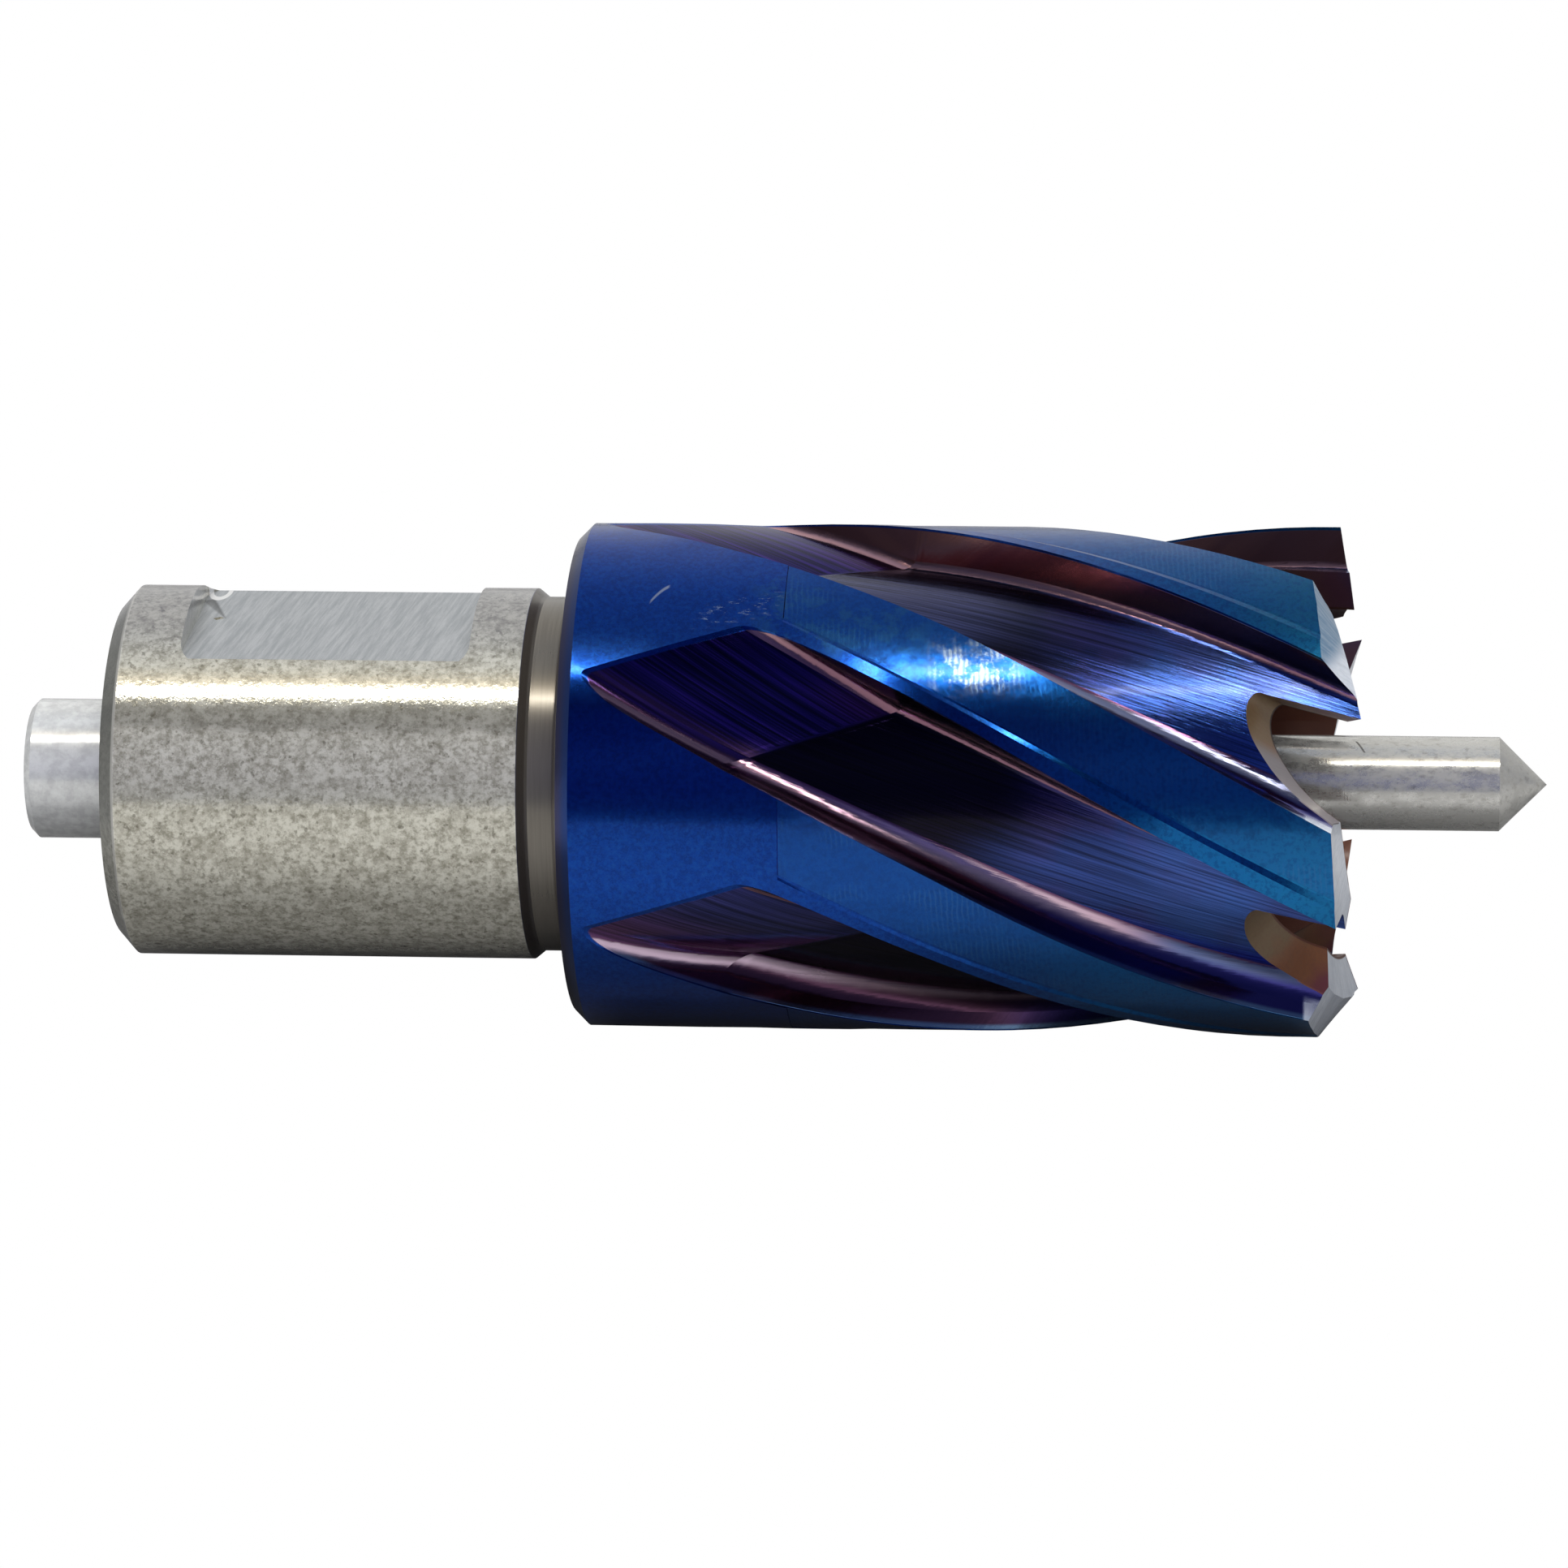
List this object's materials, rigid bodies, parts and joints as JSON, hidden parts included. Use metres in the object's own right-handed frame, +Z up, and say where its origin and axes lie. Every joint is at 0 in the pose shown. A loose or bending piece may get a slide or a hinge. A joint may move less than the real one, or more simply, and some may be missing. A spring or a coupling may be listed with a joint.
{
  "type": "annular cutter",
  "caption": "Annular cutter with a two-flat side-lock shank, helical flutes, staggered end teeth and a loose stepped pilot pin that slides through its centre.",
  "frame": {"origin": "on the tool's axis, in the middle of the shank's cylindrical wall", "axes": "+X along the tool's axis from the shank to the teeth, +Z up and normal to one drive flat, +Y normal to the other drive flat"},
  "size_m": [0.0777, 0.026, 0.026],
  "materials": {
    "coated_steel": "satin",
    "ground_steel": "satin"
  },
  "bodies": {
    "cutter": {"cutter_body": "coated_steel"},
    "pin": {"pilot_pin": "ground_steel"}
  },
  "joints": [
    {"name": "pin_slide", "type": "slide", "parent": "cutter", "child": "pin", "axis": [1, 0, 0], "range_m": [-0.034, 0.0045]}
  ]
}
